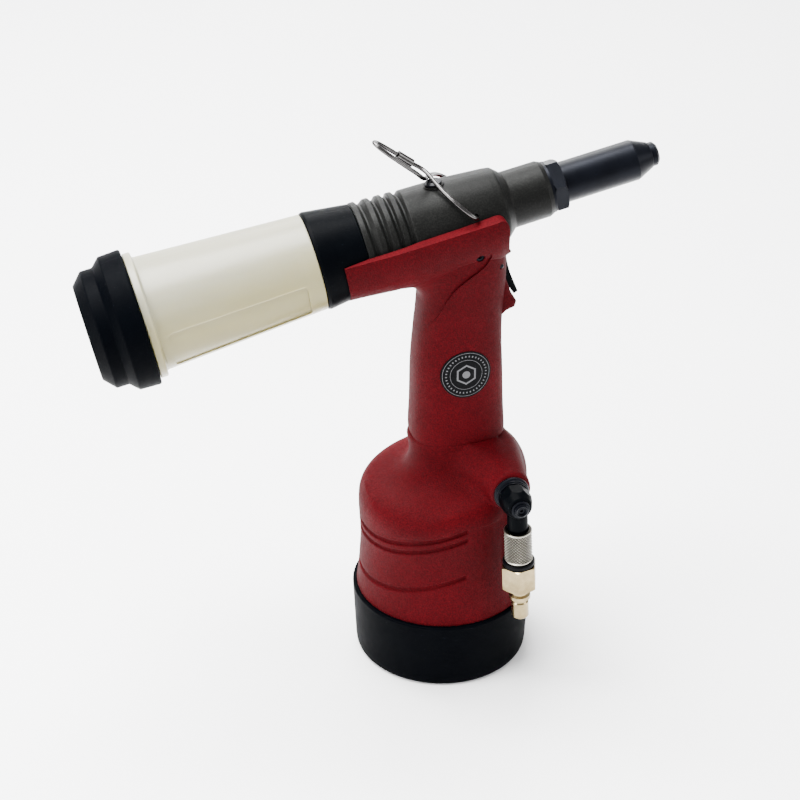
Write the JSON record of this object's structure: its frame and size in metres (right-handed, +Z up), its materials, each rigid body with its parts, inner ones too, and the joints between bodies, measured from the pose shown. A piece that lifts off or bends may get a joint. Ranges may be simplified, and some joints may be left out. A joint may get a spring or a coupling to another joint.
{
  "type": "pneumatic rivet gun",
  "caption": "Air-powered blind rivet gun: pistol grip on an upright air cylinder, tilted pulling head with a hexagon-locked nose, rear mandrel bottle, wire hanger and swivelling air inlet",
  "frame": {"origin": "centre of the base on the floor, under the air cylinder's axis", "axes": "+X towards the nose, +Y to the tool's left (away from the air inlet), +Z up"},
  "size_m": [0.2979, 0.1118, 0.3043],
  "materials": {
    "red_housing": "fine leathery grain, moulded through",
    "black_rubber": "soft matte, slightly grey",
    "black_plastic": "fine satin",
    "dark_casting": "hard-anodised, fine cast grain",
    "black_oxide": "black oxide, semi-gloss",
    "plain_steel": "turned",
    "bright_wire": "polished spring wire",
    "satin_alloy": "satin, knurled where gripped",
    "pale_brass": "nickel-tinted brass, bright",
    "bronze": "bearing bronze",
    "cream_bottle": "translucent, milky",
    "seal_rubber": "smooth",
    "label": "printed badge"
  },
  "bodies": {
    "tool": {"nosepiece": "black_oxide", "nose_sleeve": "black_oxide", "nose_lock_nut": "black_oxide", "nose_washer": "black_oxide", "piston_return_spring": "plain_steel", "head_casting": "dark_casting", "head_rear_plug": "plain_steel", "oil_filler_screw": "black_oxide", "oil_filler_seal": "seal_rubber", "bottle_collar": "black_plastic", "handle_shell_right": "red_housing", "handle_shell_left": "red_housing", "badge_plate": "label", "handle_bolt": "black_oxide", "trigger_pin": "black_oxide", "valve_body": "satin_alloy", "valve_spring": "plain_steel", "hydraulic_cylinder": "plain_steel", "air_cylinder_liner": "satin_alloy", "cylinder_head_plate": "satin_alloy", "plunger_gland": "bronze", "base_plate": "satin_alloy", "base_seal": "seal_rubber", "base_boot": "black_rubber", "cylinder_housing": "red_housing", "inlet_gland": "black_oxide", "inlet_stem": "plain_steel"},
    "pull_unit": {"pull_piston": "plain_steel", "pull_piston_seal": "seal_rubber", "jaw_case": "plain_steel", "jaw_pusher": "plain_steel", "jaw_spring": "plain_steel", "mandrel_tube": "plain_steel"},
    "jaw_a": {"jaw_1": "plain_steel"},
    "jaw_b": {"jaw_2": "plain_steel"},
    "jaw_c": {"jaw_3": "plain_steel"},
    "air_unit": {"air_piston": "satin_alloy", "air_piston_seal": "seal_rubber", "plunger_rod": "plain_steel", "plunger_nut": "plain_steel"},
    "bottle": {"mandrel_bottle": "cream_bottle", "bottle_seal": "seal_rubber"},
    "end_cap": {"bottle_end_cap": "black_rubber"},
    "bail": {"hanger_bail": "bright_wire", "bail_sleeve": "bright_wire"},
    "trigger_lever": {"trigger": "black_plastic"},
    "valve_stem": {"trigger_rod": "plain_steel"},
    "elbow": {"swivel_elbow": "black_plastic", "swivel_screw": "black_oxide", "inlet_tube": "plain_steel", "sleeve_seal": "seal_rubber", "air_plug": "pale_brass"},
    "sleeve": {"slide_sleeve": "satin_alloy"}
  },
  "joints": [
    {"name": "air_piston_stroke", "type": "slide", "parent": "tool", "child": "air_unit", "axis": [0, 0, 1], "range_m": [0, 0.064]},
    {"name": "pull_stroke", "type": "slide", "parent": "tool", "child": "pull_unit", "axis": [-0.9785, 0, -0.2062], "range_m": [0, 0.0186], "stiffness_N_per_m": 1200, "springref_m": -0.01, "deforming": ["piston_return_spring"]},
    {"name": "jaw_a_grip", "type": "slide", "parent": "pull_unit", "child": "jaw_a", "axis": [0.9995, 0, 0.0332], "range_m": [0, 0.0012]},
    {"name": "jaw_b_grip", "type": "slide", "parent": "pull_unit", "child": "jaw_b", "axis": [0.9457, 0.1504, 0.288], "range_m": [0, 0.0012]},
    {"name": "jaw_c_grip", "type": "slide", "parent": "pull_unit", "child": "jaw_c", "axis": [0.9457, -0.1504, 0.288], "range_m": [0, 0.0012]},
    {"name": "valve_lift", "type": "slide", "parent": "tool", "child": "valve_stem", "axis": [0, 0, 1], "range_m": [0, 0.0009], "deforming": ["valve_spring"]},
    {"name": "trigger_pull", "type": "hinge", "parent": "tool", "child": "trigger_lever", "pos_m": [0.0248, 0, 0.2359], "axis": [0, 1, 0], "range_deg": [0, 8], "stiffness_Nm_per_rad": 0.3, "springref_deg": -11.46},
    {"name": "bail_swing", "type": "hinge", "parent": "tool", "child": "bail", "pos_m": [0.0104, 0, 0.2663], "axis": [0, 1, 0], "range_deg": [0, 80]},
    {"name": "inlet_swivel", "type": "hinge", "parent": "tool", "child": "elbow", "pos_m": [0.0242, -0.0543, 0.1183], "axis": [0, 1, 0], "continuous": true},
    {"name": "sleeve_slide", "type": "slide", "parent": "elbow", "child": "sleeve", "axis": [-0.0523, 0, 0.9986], "range_m": [0, 0.004]},
    {"name": "bottle_twist", "type": "hinge", "parent": "tool", "child": "bottle", "pos_m": [-0.09785, 0, 0.23658], "axis": [0.9785, 0, 0.2062], "range_deg": [0, 45]},
    {"name": "end_cap_pull", "type": "slide", "parent": "bottle", "child": "end_cap", "axis": [-0.9785, 0, -0.2062], "range_m": [0, 0.03]}
  ],
  "couplings": [
    {"joint": "pull_stroke", "follows": "air_piston_stroke", "ratio": 0.29037},
    {"joint": "jaw_a_grip", "follows": "air_piston_stroke", "ratio": 0.01875},
    {"joint": "jaw_b_grip", "follows": "air_piston_stroke", "ratio": 0.01875},
    {"joint": "jaw_c_grip", "follows": "air_piston_stroke", "ratio": 0.01875},
    {"joint": "trigger_pull", "follows": "valve_lift", "rad_per_m": 155.14}
  ]
}
